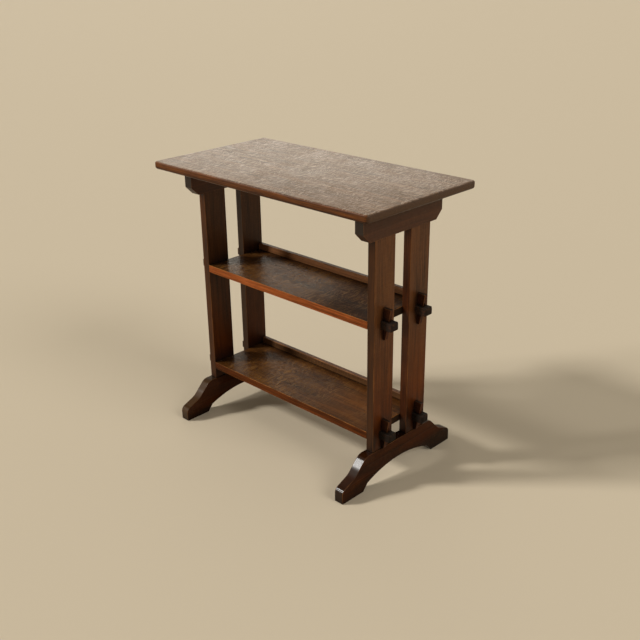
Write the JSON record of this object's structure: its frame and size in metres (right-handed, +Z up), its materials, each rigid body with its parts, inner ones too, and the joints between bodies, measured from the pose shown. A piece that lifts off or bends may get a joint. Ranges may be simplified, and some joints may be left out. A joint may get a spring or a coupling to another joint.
{
  "type": "book stand",
  "caption": "Free-standing dark oak book stand with a table top over open shelves, end frames on arched feet, and through tenons held by upright tapered keys.",
  "frame": {"origin": "on the floor, midway between the two ends and midway between the front and back of the feet", "axes": "+X along the shelves to the right-hand end, -Y towards the front, +Z up"},
  "size_m": [0.66, 0.379, 0.656],
  "materials": {
    "top_oak": "satin dark stain, a little worn",
    "shelf_oak": "satin dark stain",
    "end_oak": "satin dark stain",
    "foot_oak": "satin dark stain",
    "key_oak": "satin dark stain",
    "screw_steel": "plain"
  },
  "bodies": {
    "stand": {"top_board": "top_oak", "left_rail": "end_oak", "right_rail": "end_oak", "left_front_stile": "end_oak", "left_back_stile": "end_oak", "right_front_stile": "end_oak", "right_back_stile": "end_oak", "left_foot": "foot_oak", "right_foot": "foot_oak", "upper_shelf": "shelf_oak", "lower_shelf": "shelf_oak", "upper_back_strip": "shelf_oak", "lower_back_strip": "shelf_oak", "top_screws": "screw_steel"},
    "key_upper_left_front": {"key_upper_left_front": "key_oak"},
    "key_upper_left_back": {"key_upper_left_back": "key_oak"},
    "key_upper_right_front": {"key_upper_right_front": "key_oak"},
    "key_upper_right_back": {"key_upper_right_back": "key_oak"},
    "key_lower_left_front": {"key_lower_left_front": "key_oak"},
    "key_lower_left_back": {"key_lower_left_back": "key_oak"},
    "key_lower_right_front": {"key_lower_right_front": "key_oak"},
    "key_lower_right_back": {"key_lower_right_back": "key_oak"}
  },
  "joints": [
    {"name": "lift_key_upper_left_front", "type": "slide", "parent": "stand", "child": "key_upper_left_front", "axis": [0, 0, 1], "range_m": [0, 0.045]},
    {"name": "lift_key_upper_left_back", "type": "slide", "parent": "stand", "child": "key_upper_left_back", "axis": [0, 0, 1], "range_m": [0, 0.045]},
    {"name": "lift_key_upper_right_front", "type": "slide", "parent": "stand", "child": "key_upper_right_front", "axis": [0, 0, 1], "range_m": [0, 0.045]},
    {"name": "lift_key_upper_right_back", "type": "slide", "parent": "stand", "child": "key_upper_right_back", "axis": [0, 0, 1], "range_m": [0, 0.045]},
    {"name": "lift_key_lower_left_front", "type": "slide", "parent": "stand", "child": "key_lower_left_front", "axis": [0, 0, 1], "range_m": [0, 0.045]},
    {"name": "lift_key_lower_left_back", "type": "slide", "parent": "stand", "child": "key_lower_left_back", "axis": [0, 0, 1], "range_m": [0, 0.045]},
    {"name": "lift_key_lower_right_front", "type": "slide", "parent": "stand", "child": "key_lower_right_front", "axis": [0, 0, 1], "range_m": [0, 0.045]},
    {"name": "lift_key_lower_right_back", "type": "slide", "parent": "stand", "child": "key_lower_right_back", "axis": [0, 0, 1], "range_m": [0, 0.045]}
  ]
}
